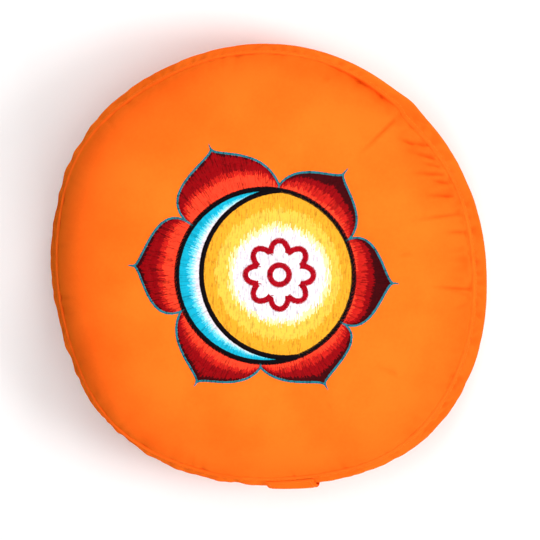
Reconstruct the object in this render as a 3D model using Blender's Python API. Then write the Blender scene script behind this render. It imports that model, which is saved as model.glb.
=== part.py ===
"""Round yoga and meditation cushion with a sewn side band and a carry handle.

The cushion lies on its base panel. The origin is the middle of the base, +Z is up,
and azimuths run counter-clockwise from +X as seen from above. Sizes are in
millimetres here and in metres in the meshes.
"""

import math

import bmesh
import bpy
from mathutils import Vector

MM = 0.001

# Driving sizes of the filled cushion
WIDEST_RADIUS = 180.0
HEIGHT = 150.0
TOP_SEAM_RADIUS = 169.0
TOP_SEAM_HEIGHT = 112.0
BOTTOM_SEAM_RADIUS = 167.0
BOTTOM_SEAM_HEIGHT = 15.0
BASE_RADIUS = 146.0
CROWN_FULLNESS = 5.5
CROWN_SHOULDER = 0.72
BAND_FULLNESS = 0.78

# Seam lip: the allowances of both panels, turned onto the band and stitched down
LIP_WIDTH = 4.2
LIP_RISE = 0.8
LIP_EDGE = 0.4
CREASE_DEPTH = 1.0

# The outline is a little out of round: waves round the edge, swell and azimuth of a crest
OUTLINE_WAVES = (
    # waves, swell_mm, crest_deg
    (2, 3.8, 127.8),
    (3, 1.7, 331.5),
    (4, 2.3, 320.3),
    (5, 0.9, 16.9),
    (6, 0.4, 22.1),
)

# The top seam's own wander, in and out and up and down
SEAM_WAVES = (
    # waves, in_out_mm, up_down_mm, crest_deg
    (2, 0.8, 1.6, 60.0),
    (5, 0.7, 0.8, 10.0),
    (9, 0.5, 0.5, 25.0),
)
BOTTOM_SEAM_WANDER = 0.7

# Puckers drawn from the top seam over the edge of the top panel
PUCKERS = (
    # azimuth_deg, half_width_deg, reach_mm, depth_mm
    (-11.0, 2.6, 34.0, 1.7),
    (-3.5, 1.9, 24.0, 1.3),
    (3.0, 2.0, 30.0, 1.2),
    (9.5, 1.8, 36.0, 1.4),
    (16.0, 2.0, 28.0, 1.5),
    (22.5, 1.9, 34.0, 1.5),
    (29.5, 2.1, 38.0, 1.8),
    (37.0, 2.2, 30.0, 1.6),
    (48.0, 2.0, 40.0, 2.0),
    (55.5, 3.6, 14.0, 2.2),
    (62.5, 3.4, 16.0, 2.4),
    (69.0, 3.0, 14.0, 1.6),
    (96.0, 2.4, 20.0, 0.9),
    (236.0, 2.8, 18.0, 1.4),
)

# The top seam's step, where the band's ends meet, and the corner that they make in the outline
STEP_AZIMUTH = 48.8
STEP_SHARPNESS = 1.3
STEP_OUT = 1.9
STEP_OUT_FADE = 5.0
STEP_IN = 2.1
STEP_IN_FADE = 18.0
STEP_INWARD_FADE = 24.0
CORNER_RISE = 1.5
CORNER_HALF_WIDTH = 3.5

# Shallow dips of the band just under the top seam
BAND_DIPS = (
    # azimuth_deg, half_width_deg, depth_mm
    (146.0, 2.2, 1.8),
    (151.0, 1.7, 2.7),
    (157.6, 2.0, 2.1),
    (163.2, 2.0, 1.6),
    (24.0, 3.0, 1.4),
    (205.0, 3.2, 1.3),
    (262.0, 3.0, 1.4),
    (331.0, 3.4, 1.4),
)

# Carry handle: a strap down the band, standing off it more at one edge than at the other
HANDLE_AZIMUTH = 277.0
HANDLE_WIDTH = 40.0
HANDLE_THICKNESS = 2.0
HANDLE_EDGE_ROUND = 0.35
HANDLE_GAP = 0.3
HANDLE_BOW = 1.5
HANDLE_BOW_SHAPE = 1.3
HANDLE_EDGE_TILT = 0.75

# Fineness of the meshes
STATION_ZONES = (
    # from_deg, to_deg, step_deg
    (-16.0, 78.0, 2.0),
    (78.0, 138.0, 3.0),
    (138.0, 170.0, 2.0),
    (170.0, 344.0, 3.0),
)
BASE_RING = 0.8
SHOULDER_STEPS = 4
BAND_STEPS = 8
CROWN_SHARES = (0.987, 0.968, 0.942, 0.908, 0.86, 0.8, 0.71, 0.58, 0.4, 0.2)
HANDLE_STEPS_LONG = 20
HANDLE_STEPS_WIDE = 6

ORANGE = (0.955, 0.222, 0.014, 1.0)
ORANGE_HANDLE = (0.93, 0.2, 0.012, 1.0)
CLOTH_ROUGHNESS = 0.85


def angle_between(azimuth, other):
    """Signed difference of two azimuths in degrees, from -180 to 180."""
    return (azimuth - other + 180.0) % 360.0 - 180.0


def bump(distance, half_width):
    """Smooth hump: 1 at no distance, about a third at half_width."""
    return math.exp(-((distance / half_width) ** 2))


def outline_swell(azimuth):
    """How far the whole cushion stands out of round at an azimuth."""
    swell = 0.0
    for waves, height, crest in OUTLINE_WAVES:
        swell += height * math.cos(math.radians(waves * (azimuth - crest)))
    return swell


def seam_step(azimuth):
    """How far the top seam stands out after its step, or in (negative) before it."""
    past = angle_between(azimuth, STEP_AZIMUTH)
    outward = STEP_OUT * math.exp(-max(past, 0.0) / STEP_OUT_FADE)
    inward = STEP_IN * math.exp(min(past, 0.0) / STEP_IN_FADE)
    turn = 0.5 + 0.5 * math.tanh(past / STEP_SHARPNESS)
    return turn * outward - (1.0 - turn) * inward


def top_seam(azimuth):
    """Radius and height of the top seam's crease."""
    radius = TOP_SEAM_RADIUS + outline_swell(azimuth) + seam_step(azimuth)
    height = TOP_SEAM_HEIGHT
    for waves, in_out, up_down, crest in SEAM_WAVES:
        phase = math.cos(math.radians(waves * (azimuth - crest)))
        radius += in_out * phase
        height += up_down * phase
    return radius, height


def bottom_seam(azimuth):
    """Radius and height of the bottom seam's crease."""
    wander = math.cos(math.radians(3 * azimuth)) + 0.6 * math.cos(math.radians(7 * azimuth))
    radius = BOTTOM_SEAM_RADIUS + outline_swell(azimuth) + BOTTOM_SEAM_WANDER * wander
    return radius, BOTTOM_SEAM_HEIGHT


def band_dip(azimuth):
    """Depth of the dips under the top seam at an azimuth."""
    depth = 0.0
    for place, half_width, deepest in BAND_DIPS:
        depth += deepest * bump(angle_between(azimuth, place), half_width)
    return depth


def pucker_depth(azimuth, inward):
    """Depth of the puckers at a distance inward of the top seam."""
    depth = 0.0
    for place, half_width, reach, deepest in PUCKERS:
        along = max(0.0, 1.0 - inward / reach)
        depth += deepest * bump(angle_between(azimuth, place), half_width) * along**1.5
    return depth


def base_points(azimuth):
    """The flat base and the round shoulder up to the bottom seam."""
    swell = outline_swell(azimuth)
    edge = BASE_RADIUS + swell
    points = [(edge * BASE_RING, 0.0), (edge, 0.0)]
    seam_radius, seam_height = bottom_seam(azimuth)
    for step in range(1, SHOULDER_STEPS):
        share = step / SHOULDER_STEPS
        radius = edge + (seam_radius - CREASE_DEPTH - edge) * math.sin(0.5 * math.pi * share)
        points.append((radius, seam_height * (1.0 - math.cos(0.5 * math.pi * share))))
    points.append((seam_radius - CREASE_DEPTH, seam_height))
    return points


def band_radius(azimuth, share):
    """Radius of the side band, share 0 at the bottom seam and 1 at the top seam."""
    low_radius = bottom_seam(azimuth)[0]
    high_radius = top_seam(azimuth)[0]
    straight = low_radius + (high_radius - low_radius) * share
    bulge = WIDEST_RADIUS + outline_swell(azimuth) - straight
    fullness = math.sin(math.pi * min(max(share, 0.0), 1.0)) ** BAND_FULLNESS
    corner = CORNER_RISE * bump(angle_between(azimuth, STEP_AZIMUTH), CORNER_HALF_WIDTH)
    drawn_in = band_dip(azimuth) * share**1.5
    return straight + (bulge + corner - drawn_in) * fullness


def band_points(azimuth):
    """Both seam lips and the bulging band between them, from below upward."""
    low_radius, low_height = bottom_seam(azimuth)
    high_radius, high_height = top_seam(azimuth)
    low_edge = low_height + LIP_WIDTH
    high_edge = high_height - LIP_WIDTH
    span = high_height - low_height
    low_out = band_radius(azimuth, LIP_WIDTH / span)
    high_out = band_radius(azimuth, 1.0 - LIP_WIDTH / span)
    points = [
        (low_radius + LIP_RISE, low_height - LIP_EDGE),
        (low_out + LIP_RISE, low_edge - 2.0 * LIP_EDGE),
        (low_out, low_edge + LIP_EDGE),
    ]
    for step in range(1, BAND_STEPS):
        height = low_edge + (high_edge - low_edge) * step / BAND_STEPS
        points.append((band_radius(azimuth, (height - low_height) / span), height))
    points.append((high_out, high_edge - LIP_EDGE))
    points.append((high_out + LIP_RISE, high_edge + 2.0 * LIP_EDGE))
    points.append((high_radius + LIP_RISE, high_height + LIP_EDGE))
    points.append((high_radius, high_height + LIP_EDGE))
    return points


def crown_points(azimuth):
    """The top panel from the seam's crease up and in towards the middle."""
    seam_radius, seam_height = top_seam(azimuth)
    points = [(seam_radius - CREASE_DEPTH, seam_height - 0.5 * CREASE_DEPTH)]
    for share in CROWN_SHARES:
        step_fade = share**STEP_INWARD_FADE - share
        radius = (seam_radius - CREASE_DEPTH) * share + seam_step(azimuth) * step_fade
        rise = (1.0 - share**CROWN_FULLNESS) ** CROWN_SHOULDER
        height = seam_height + (HEIGHT - seam_height) * rise
        points.append((radius, height - pucker_depth(azimuth, seam_radius - radius)))
    return points


def azimuth_stations():
    """Azimuths of the upright sections, closer together where the edge is puckered."""
    stations = []
    for start, end, step in STATION_ZONES:
        count = round((end - start) / step)
        stations += [start + (end - start) * i / count for i in range(count)]
    return stations


def at(azimuth, radius, height):
    """Point in metres at an azimuth in degrees and a radius and height in millimetres."""
    turn = math.radians(azimuth)
    return Vector((radius * math.cos(turn), radius * math.sin(turn), height)) * MM


def cloth_material(name, colour):
    material = bpy.data.materials.new(name)
    material.use_nodes = True
    shader = material.node_tree.nodes["Principled BSDF"]
    shader.inputs["Base Color"].default_value = colour
    shader.inputs["Roughness"].default_value = CLOTH_ROUGHNESS
    shader.inputs["Metallic"].default_value = 0.0
    return material


def object_from(name, builder, material):
    """Object made from a filled bmesh, smooth shaded, with its faces pointing out."""
    bmesh.ops.recalc_face_normals(builder, faces=builder.faces)
    mesh = bpy.data.meshes.new(name)
    builder.to_mesh(mesh)
    builder.free()
    mesh.shade_smooth()
    mesh.materials.append(material)
    thing = bpy.data.objects.new(name, mesh)
    bpy.context.scene.collection.objects.link(thing)
    return thing


def make_cushion():
    """Upright sections all round, bridged side by side and closed at both middles."""
    builder = bmesh.new()
    sections = []
    for azimuth in azimuth_stations():
        profile = base_points(azimuth) + band_points(azimuth) + crown_points(azimuth)
        sections.append([builder.verts.new(at(azimuth, *point)) for point in profile])
    base_middle = builder.verts.new((0.0, 0.0, 0.0))
    crown_middle = builder.verts.new((0.0, 0.0, HEIGHT * MM))
    for here, after in zip(sections, sections[1:] + sections[:1]):
        builder.faces.new((base_middle, after[0], here[0]))
        builder.faces.new((crown_middle, here[-1], after[-1]))
        for low in range(len(here) - 1):
            builder.faces.new((here[low], after[low], after[low + 1], here[low + 1]))
    return object_from("cushion", builder, cloth_material("orange_cotton", ORANGE))


def handle_standoff(along, across):
    """Gap between band and strap: along 0 to 1 upward, across 0 to 1 counter-clockwise."""
    lift = 1.0 - HANDLE_EDGE_TILT + HANDLE_EDGE_TILT * across
    return HANDLE_GAP + HANDLE_BOW * lift * math.sin(math.pi * along) ** HANDLE_BOW_SHAPE


def make_carry_handle():
    """Strap of even thickness that follows the band, closed all round."""
    builder = bmesh.new()
    half_turn = math.degrees(0.5 * HANDLE_WIDTH / WIDEST_RADIUS)
    clear_of_seam = LIP_WIDTH + LIP_EDGE + HANDLE_GAP
    inner = []
    outer = []
    for row in range(HANDLE_STEPS_LONG + 1):
        along = row / HANDLE_STEPS_LONG
        inner_row = []
        outer_row = []
        for column in range(HANDLE_STEPS_WIDE + 1):
            across = column / HANDLE_STEPS_WIDE
            azimuth = HANDLE_AZIMUTH + half_turn * (2.0 * across - 1.0)
            low_height = bottom_seam(azimuth)[1]
            span = top_seam(azimuth)[1] - low_height
            share = (clear_of_seam + (span - 2.0 * clear_of_seam) * along) / span
            height = low_height + span * share
            radius = band_radius(azimuth, share) + handle_standoff(along, across)
            inner_row.append(builder.verts.new(at(azimuth, radius, height)))
            edge_round = 1.0 - HANDLE_EDGE_ROUND * abs(2.0 * across - 1.0) ** 6
            outward = radius + HANDLE_THICKNESS * edge_round
            outer_row.append(builder.verts.new(at(azimuth, outward, height)))
        inner.append(inner_row)
        outer.append(outer_row)
    for row in range(HANDLE_STEPS_LONG):
        for column in range(HANDLE_STEPS_WIDE):
            for sheet in (inner, outer):
                corners = (
                    sheet[row][column],
                    sheet[row][column + 1],
                    sheet[row + 1][column + 1],
                    sheet[row + 1][column],
                )
                builder.faces.new(corners)
        for column in (0, HANDLE_STEPS_WIDE):
            side = (inner[row][column], outer[row][column])
            above = (outer[row + 1][column], inner[row + 1][column])
            builder.faces.new(side + above)
    for row in (0, HANDLE_STEPS_LONG):
        for column in range(HANDLE_STEPS_WIDE):
            end = (inner[row][column], inner[row][column + 1])
            beyond = (outer[row][column + 1], outer[row][column])
            builder.faces.new(end + beyond)
    strap = object_from("carry_handle", builder, cloth_material("orange_strap", ORANGE_HANDLE))
    strap.data.set_sharp_from_angle(angle=math.radians(50.0))
    return strap


def clear_scene():
    for thing in list(bpy.data.objects):
        bpy.data.objects.remove(thing, do_unlink=True)


def main():
    clear_scene()
    make_cushion()
    make_carry_handle()


main()
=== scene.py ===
import math
from collections import namedtuple

import bpy
import numpy as np
from mathutils import Matrix, Vector
from mathutils.bvhtree import BVHTree


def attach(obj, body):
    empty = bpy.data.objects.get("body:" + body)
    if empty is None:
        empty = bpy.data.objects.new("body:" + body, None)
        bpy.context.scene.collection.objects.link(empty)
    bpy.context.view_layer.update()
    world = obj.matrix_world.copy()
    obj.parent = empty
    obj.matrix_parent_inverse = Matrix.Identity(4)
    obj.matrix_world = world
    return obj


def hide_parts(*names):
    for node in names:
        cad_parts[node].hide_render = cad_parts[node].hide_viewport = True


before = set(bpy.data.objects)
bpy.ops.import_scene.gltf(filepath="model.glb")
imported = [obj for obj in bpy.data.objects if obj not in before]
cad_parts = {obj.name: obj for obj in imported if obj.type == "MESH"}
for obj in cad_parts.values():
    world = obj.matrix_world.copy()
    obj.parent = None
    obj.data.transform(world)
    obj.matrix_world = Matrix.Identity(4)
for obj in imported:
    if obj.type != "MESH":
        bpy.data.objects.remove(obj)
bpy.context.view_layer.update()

MM = 0.001
rng = np.random.default_rng(20)

# Form of the filled cushion in millimetres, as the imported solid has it
WIDEST_RADIUS = 180.0
HEIGHT = 150.0
TOP_SEAM_RADIUS = 169.0
TOP_SEAM_HEIGHT = 112.0
BOTTOM_SEAM_RADIUS = 167.0
BOTTOM_SEAM_HEIGHT = 15.0
BASE_RADIUS = 146.0
CROWN_FULLNESS = 5.5
CROWN_SHOULDER = 0.72
BAND_FULLNESS = 0.78
LIP_WIDTH = 4.2
LIP_RISE = 0.8
LIP_EDGE = 0.4
CREASE_DEPTH = 1.0
STITCH_LINE = 0.78

# Cross-section of a seam lip, places as shares of its width: a ridge, a swell and a pressed-in line
LIP_RIDGE_PLACE = 0.2
LIP_RIDGE_HALF_WIDTH = 0.17
LIP_RIDGE_SHAPE = 0.5
LIP_SWELL = 0.45
LIP_SWELL_SHAPE = 0.7
LIP_GROOVE = 0.4
LIP_GROOVE_HALF_WIDTH = 0.08

# How far from the top seam its crease draws the panel down
CREASE_REACH = 2.0

OUTLINE_WAVES = (
    # waves, swell_mm, crest_deg
    (2, 3.8, 127.8),
    (3, 1.7, 331.5),
    (4, 2.3, 320.3),
    (5, 0.9, 16.9),
    (6, 0.4, 22.1),
)

SEAM_WAVES = (
    # waves, in_out_mm, up_down_mm, crest_deg
    (2, 0.8, 1.6, 60),
    (5, 0.7, 0.8, 10),
    (9, 0.5, 0.5, 25),
)
BOTTOM_SEAM_WANDER = 0.7

PUCKERS = (
    # azimuth_deg, half_width_deg, reach_mm, depth_mm
    (-3.5, 1.2, 20, 0.8),
    (3, 1.1, 22, 0.8),
    (10, 1, 18, 0.8),
    (55.5, 3.6, 12, 2.2),
    (62.5, 3.4, 14, 2.4),
    (69, 3, 12, 1.6),
    (96, 1.4, 20, 0.7),
    (236, 1.7, 18, 1),
)

PUCKER_FLANK = 1.25
PUCKER_FADE = 1.5

# The top seam's step, where the band's ends meet, and the corner that they make in the outline
STEP_AZIMUTH = 48.8
STEP_SHARPNESS = 1.3
STEP_OUT = 1.9
STEP_OUT_FADE = 5.0
STEP_IN = 2.1
STEP_IN_FADE = 18.0
STEP_INWARD_FADE = 24.0
CORNER_RISE = 1.5
CORNER_HALF_WIDTH = 3.5

BAND_DIPS = (
    # azimuth_deg, half_width_deg, depth_mm
    (146, 2.2, 1.8),
    (151, 1.7, 2.7),
    (157.6, 2, 2.1),
    (163.2, 2, 1.6),
    (24, 3, 1.4),
    (205, 3.2, 1.3),
    (262, 3, 1.4),
    (331, 3.4, 1.4),
)
BAND_DIP_FADE = 1.5

# Single creases of the top panel, from and to in millimetres from the middle
PANEL_CREASES = (
    # from_x, from_y, to_x, to_y, half_width_mm, depth_mm
    (105, 118, 76, 89, 1.2, 1.6),
    (119.5, 98.5, 105, 104.5, 1.4, 1.8),
    (131, 98, 110, 101, 1.3, 1.5),
    (136, 88, 113, 93.5, 1.6, 2),
    (140, 81, 121, 85, 1.3, 1.5),
    (143, 75, 115, 76.5, 1.4, 1.8),
    (147, 68, 129, 71.5, 1.3, 1.6),
    (151, 58, 125, 59, 1.3, 1.8),
    (156, 44, 116, 39.5, 1.4, 1.3),
    (160, 30, 142, 30, 1.3, 1.2),
    (165, -15, 129, -11.5, 1.3, 1.3),
    (163, -19, 147, -15.5, 1.3, 0.8),
    (163, -25.5, 144, -32.5, 1.4, 0.9),
    (107, -80, 90, -73, 1.7, 0.7),
    (57, -107.5, 50, -100, 1.6, 0.6),
    (117, 14, 106, 11, 1.8, 0.6),
    (54, 149, 47, 151.5, 1.6, 0.8),
)

# Under 1, a crease is deepest in its first half
CREASE_RISE = 0.45

# Fine gathers along both seams, drawn at random
GATHER_COUNT = 130
GATHER_HALF_WIDTH = (0.45, 1.1)
GATHER_REACH = (6.0, 20.0)
GATHER_DEPTH = (0.12, 0.5)

# Cloth simulation: slack cloth, held along both seams and inside the crown, blown up a little
CLOTH = {
    "vertex_group_mass": "held",
    "quality": 5,
    "mass": 0.2,
    "tension_stiffness": 12.0,
    "compression_stiffness": 12.0,
    "shear_stiffness": 4.0,
    "bending_stiffness": 0.2,
    "shrink_min": -0.04,
    "use_pressure": True,
    "uniform_pressure_force": 3.0,
}
CLOTH_FRAMES = 20
COLUMNS_PER_CLOTH_COLUMN = 3
CLOTH_CROWN_ROWS = 20
HELD_CROWN_ROWS = 3
SWELL_WAVES = 9
WRINKLE_CAP = 2.0
HANDLE_CALM = 9.0

# Share of the wrinkles that stays: at the band's seams and middle, and on the crown
BAND_SEAM_SHARE = 0.85
BAND_MIDDLE_SHARE = 0.12
CROWN_SHARE = 0.12
CROWN_PUCKER_SHARE = 0.6
CROWN_PUCKER_AZIMUTH = 12.0
CROWN_PUCKER_HALF_WIDTH = 34.0
CROWN_WRINKLE_REACH = 15.0

# Fineness of the cover's mesh
COLUMNS = 864
BASE_ROWS = 2
SHOULDER_ROWS = 5
LIP_ROWS = 8
BAND_ROWS = 38
CROWN_ROWS = 48

# Carry handle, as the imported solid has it
HANDLE_AZIMUTH = 277.0
HANDLE_WIDTH = 40.0
HANDLE_THICKNESS = 2.0
HANDLE_GAP = 0.3
HANDLE_BOW = 1.5
HANDLE_BOW_SHAPE = 1.3
HANDLE_EDGE_TILT = 0.75
HANDLE_SEW_INSET = 3.0
HANDLE_EDGE_SHARE = 0.45
HANDLE_EDGE_ROLL = 0.9
HANDLE_GROOVE = 0.45
HANDLE_GROOVE_HALF_WIDTH = 0.8
HANDLE_RIPPLE = 0.18
HANDLE_RIPPLE_ALONG = 17.0
HANDLE_RIPPLE_ACROSS = 3.0
HANDLE_SHARP_DEG = 60.0
HANDLE_ROWS = 90
HANDLE_FACE_STEPS = 40
HANDLE_BACK_STEPS = 12

# Sewing thread of the seams and the strap
SEAM_STITCH_PITCH = 3.2
SEAM_STITCH_SHARE = 0.84
SEAM_STITCH_LIFT = 0.05
HANDLE_STITCHES = 28
HANDLE_STITCH_GAP = 0.08
HANDLE_STITCH_SINK = 0.38
SEWING_WIDTH = 0.75
SEWING_RISE = 0.4

# Embroidery on the top panel, in millimetres; its middle is a little off the crown's
EMBLEM_X = 4.6
EMBLEM_Y = -3.6
RING_RADIUS = 67.9
RING_WIDTH = 4.3
RING_RISE = 0.6
RING_STRETCH = (1.012, 0.988)
DISC_X = 15.2
DISC_Y = 1.5
DISC_RADIUS = 64.5
DISC_LINE = 3.9
DISC_LINE_LIFT = 0.85
GLOW_X = 11.2
GLOW_Y = 0.8
GLOW_RADIUS = 37.6
ROSETTE_LOBES = 8
ROSETTE_RADIUS = 17.5
ROSETTE_LOBE = 9.0
ROSETTE_ROUNDNESS = 0.8
ROSETTE_EYE_RADIUS = 7.5
ROSETTE_LINE = 4.8
ROSETTE_LIFT = 0.65

# Stitches of the fills, in millimetres
THREAD_PITCH = 0.7
THREAD_WIDTH = 0.9
THREAD_RISE = 0.34
THREAD_SINK = 0.1
TONE_SKEW = 2.5
FILL_LIFT = 0.35
LONGEST_STITCH = 7.5
STITCH_OVERLAP = 0.3
CUT_JITTER = 0.28
SHORTEST_FILL = 0.8

# Long-and-short fill of the petals: each red's teeth, its streaks and its share of a run
STITCH_PITCH = 0.62
PETAL_PITCH_RADIUS = 84.0
PETAL_FILL_INSET = 0.7
ROOT_GAP_DEG = 0.3
SHORTEST_PETAL_RUN = 1.5
LEAST_BRIGHT = 1.6
LEAST_DARK = 0.6
LEAST_MAROON = 1.0
DARK_BY_ROOT = 0.5
MAROON_BY_ROOT = 0.25
TOOTH = 1.2
STREAK_SHARE = 0.12
STREAK_LENGTH = (1.0, 4.0)
# Mid red by the ring, more of it with more maroon, is painted shade of the red thread
MID_SHARE = 0.1
MID_PER_MAROON = 0.55
PETAL_LIFTS = {"bright_red": 0.0, "mid_red": 0.02, "dark_red": 0.04, "maroon": 0.08}

# Fill of the crescent: the azimuths that it lies between, and each thread's share of its depth
CRESCENT_SPAN = (60.0, 300.0)
CRESCENT_PITCH_RADIUS = 62.0
CRESCENT_WHITE = 0.3
CRESCENT_WHITE_JITTER = 0.06
CRESCENT_PALE = 0.2
CRESCENT_LIGHT = 0.24
CRESCENT_UNEVEN = (0.3, 1.0)
CRESCENT_THREADS = (
    # colour, overlap_inward_mm, overlap_outward_mm
    ("cyan", 0.3, 0.5),
    ("light_cyan", 0.3, 0.4),
    ("pale_cyan", 0.4, 0.4),
    ("white", 0.0, 0.4),
)

# Upright fill of the disc
DISC_STITCH = (3.2, 5.4)
DISC_STITCH_OVERLAP = 0.35
DISC_STAGGER = 3.0
GLOW_STRETCH = 1.03
GLOW_JITTER = 2.0
GLOW_CREAM = (-1.5, 2.2)
GOLD_JITTER = 2.5
GOLD_PER_GLOW = 0.85

# Padding under the fills
GROUND_LIFT = 0.12
DISC_GROUND_LIFT = 0.17
GROUND_RINGS = 14
GROUND_EDGE_SINK = 0.3
GROUND_INSET = 0.8

# Satin-stitched lines: slant of the stitches, their length at a tapered end as a share, and how
# far along the path its direction is taken
CORD_LIFT = 0.5
SATIN_LOOK = 0.4
SATIN_SLANT = 0.22
SATIN_END = 0.35
SATIN_OVERLAP = 1.3

# Grid of heights under the embroidery
SURFACE_HALF_SIZE = 125.0
SURFACE_STEP = 2.5

Petal = namedtuple("Petal", "azimuth tip roots shoulders tail dark_share maroon_share")
# maroon_share: maroon by the tip as painted shade of the red thread, most on the right-hand petals
PETALS = (
    # azimuth_deg, tip_mm, roots_deg, shoulders_mm, tail_mm, dark_share, maroon_share
    Petal(-3.2, 99.0, (-31.2, 23.6), (42.0, 41.5), 4.2, 0.62, 0.42),
    Petal(52.4, 99.2, (23.6, 81.1), (36.5, 34.5), 5.2, 0.60, 0.34),
    Petal(113.3, 106.4, (81.1, 145.4), (39.0, 56.0), 4.4, 0.52, 0.05),
    Petal(175.8, 102.8, (145.4, 202.9), (53.5, 45.5), 4.4, 0.50, 0.10),
    Petal(237.2, 98.6, (202.9, 267.2), (39.0, 35.0), 3.6, 0.56, 0.14),
    Petal(298.9, 95.9, (267.2, 328.8), (32.0, 47.0), 4.4, 0.60, 0.24),
)

# Half outline of a petal as a cubic curve: its tip, a guide close to the tip, its shoulder, its root
TIP_GUIDE_ALONG = 0.93
TIP_GUIDE_ASIDE = 0.03
SHOULDER_ALONG = 0.87
ROOT_RADIUS = 70.6
OUTLINE_WIDTH = 1.9
OUTLINE_STITCHES = {"pitch": 0.62, "lift": 0.46, "rise": 0.42, "rough": 0.15}
OUTLINE_RIGHT_TAIL = 0.3

# Stations along one stitch: place, height and width as shares
STITCH_STATIONS = (
    # along, rise, width
    (0.0, -0.4, 0.6),
    (0.16, 0.8, 0.95),
    (0.5, 1.0, 1.0),
    (0.84, 0.8, 0.95),
    (1.0, -0.4, 0.6),
)

# Thread and cloth colours
THREADS = {
    "bright_red": (0.62, 0.034, 0.012),
    # mid_red and maroon are painted shade of the petals' red thread
    "mid_red": (0.36, 0.008, 0.005),
    "dark_red": (0.18, 0.0006, 0.002),
    "maroon": (0.032, 0.0003, 0.0012),
    "teal": (0.011, 0.12, 0.155),
    "black": (0.0025, 0.0012, 0.002),
    "cyan": (0.004, 0.26, 0.37),
    "light_cyan": (0.08, 0.4, 0.5),
    "pale_cyan": (0.3, 0.46, 0.52),
    "white": (0.5, 0.45, 0.49),
    "gold": (0.52, 0.228, 0.013),
    "yellow": (0.52, 0.32, 0.038),
    "cream": (0.6, 0.47, 0.22),
    "crimson": (0.24, 0.001, 0.006),
}
# How dark the darkest stitches of a colour are, as a share; stitches lighter and darker at random are
# painted gloss and painted shade between threads, the deepest shade in bright red, mid red and teal
USUAL_DARKEST = 0.7
DARKEST_STITCH = {"bright_red": 0.25, "mid_red": 0.3, "dark_red": 0.5, "teal": 0.25, "crimson": 0.6}

ORANGE = (0.94, 0.131, 0.0105)
ORANGE_DEEP = (0.88, 0.104, 0.0075)
# Painted shade of the cloth deep in its creases, puckers, gathers and wrinkle valleys
ORANGE_FOLD_SHADE = (0.6, 0.05, 0.002)
ORANGE_THREAD = (0.9, 0.14, 0.008)

# Lengths in metres over which the weave and a thread's plies repeat, and the plies' random shift
YARN_PERIOD = 0.00062
PLY_PERIOD = 0.0011
PLY_SHIFT = 0.01

# Depth in millimetres at which the painted shade in a crease or wrinkle valley is at its darkest
FOLD_SHADE_FULL_DEPTH = 2.6

WHITE = (1.0, 1.0, 1.0, 1.0)

# Studio: the floor's glow by distance in metres, the surround by height over the horizon
FLOOR_HALF_SIZE = 30.0
FLOOR_GLOW_FROM = 0.2
FLOOR_GLOW_TO = 1.6
FLOOR_GLOW_NEAR = 0.15
FLOOR_GLOW_FAR = 0.72
WORLD_HORIZON = 0.78
WORLD_OVERHEAD = 0.05
WORLD_FADE_FROM = 0.1
WORLD_FADE_TO = 0.2

LIGHTS = (
    # name, place_m, size_m, power_w
    ("top_light", (0.0, 0.0, 0.5), 0.4, 2.15),
    ("right_light", (1.0, -0.2, 1.2), 0.6, 12.3),
    ("back_light", (0.3, 1.2, 0.6), 0.6, 9.05),
    ("front_light", (0.3, -1.2, 0.6), 0.6, 6.8),
)

# The camera's view: the photo is square, and the cushion's outline fills four fifths of it
SENSOR_WIDTH = 36.0
CAMERA_DISTANCE = 1.7
CAMERA_TILT = 4.8
CAMERA_AZIMUTH = 20.0
FIELD_WIDTH = 0.438
AIM = (0.002, -0.0014, 0.068)


def angle_between(azimuth, other):
    """Signed difference of azimuths in degrees, from -180 to 180."""
    return (azimuth - other + 180.0) % 360.0 - 180.0


def bump(distance, half_width):
    """Smooth hump: 1 at no distance, about a third at half_width."""
    return np.exp(-((distance / half_width) ** 2))


def outline_swell(azimuth):
    """How far the whole cushion stands out of round at each azimuth."""
    swell = np.zeros_like(azimuth)
    for waves, height, crest in OUTLINE_WAVES:
        swell += height * np.cos(np.radians(waves * (azimuth - crest)))
    return swell


def seam_step(azimuth):
    """How far the top seam stands out after its step, or in (negative) before it."""
    past = angle_between(azimuth, STEP_AZIMUTH)
    outward = STEP_OUT * np.exp(-np.clip(past, 0.0, None) / STEP_OUT_FADE)
    inward = STEP_IN * np.exp(np.clip(past, None, 0.0) / STEP_IN_FADE)
    turn = 0.5 + 0.5 * np.tanh(past / STEP_SHARPNESS)
    return turn * outward - (1.0 - turn) * inward


def top_seam(azimuth):
    """Radius and height of the top seam's crease."""
    radius = TOP_SEAM_RADIUS + outline_swell(azimuth) + seam_step(azimuth)
    height = np.full_like(azimuth, TOP_SEAM_HEIGHT)
    for waves, in_out, up_down, crest in SEAM_WAVES:
        phase = np.cos(np.radians(waves * (azimuth - crest)))
        radius += in_out * phase
        height += up_down * phase
    return radius, height


def bottom_seam(azimuth):
    """Radius and height of the bottom seam's crease."""
    wander = np.cos(np.radians(3 * azimuth)) + 0.6 * np.cos(np.radians(7 * azimuth))
    radius = BOTTOM_SEAM_RADIUS + outline_swell(azimuth) + BOTTOM_SEAM_WANDER * wander
    return radius, np.full_like(azimuth, BOTTOM_SEAM_HEIGHT)


def band_dip(azimuth):
    """Depth of the dips under the top seam at each azimuth."""
    depth = np.zeros_like(azimuth)
    for place, half_width, deepest in BAND_DIPS:
        depth += deepest * bump(angle_between(azimuth, place), half_width)
    return depth


def pucker_depth(azimuth, inward):
    """Depth of the puckers at a distance inward of the top seam."""
    depth = np.zeros_like(azimuth)
    for place, half_width, reach, deepest in PUCKERS:
        along = np.clip(1.0 - inward / reach, 0.0, 1.0)
        across = np.abs(angle_between(azimuth, place)) / half_width
        depth += deepest * np.exp(-(across**PUCKER_FLANK)) * along**PUCKER_FADE
    return depth


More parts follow.
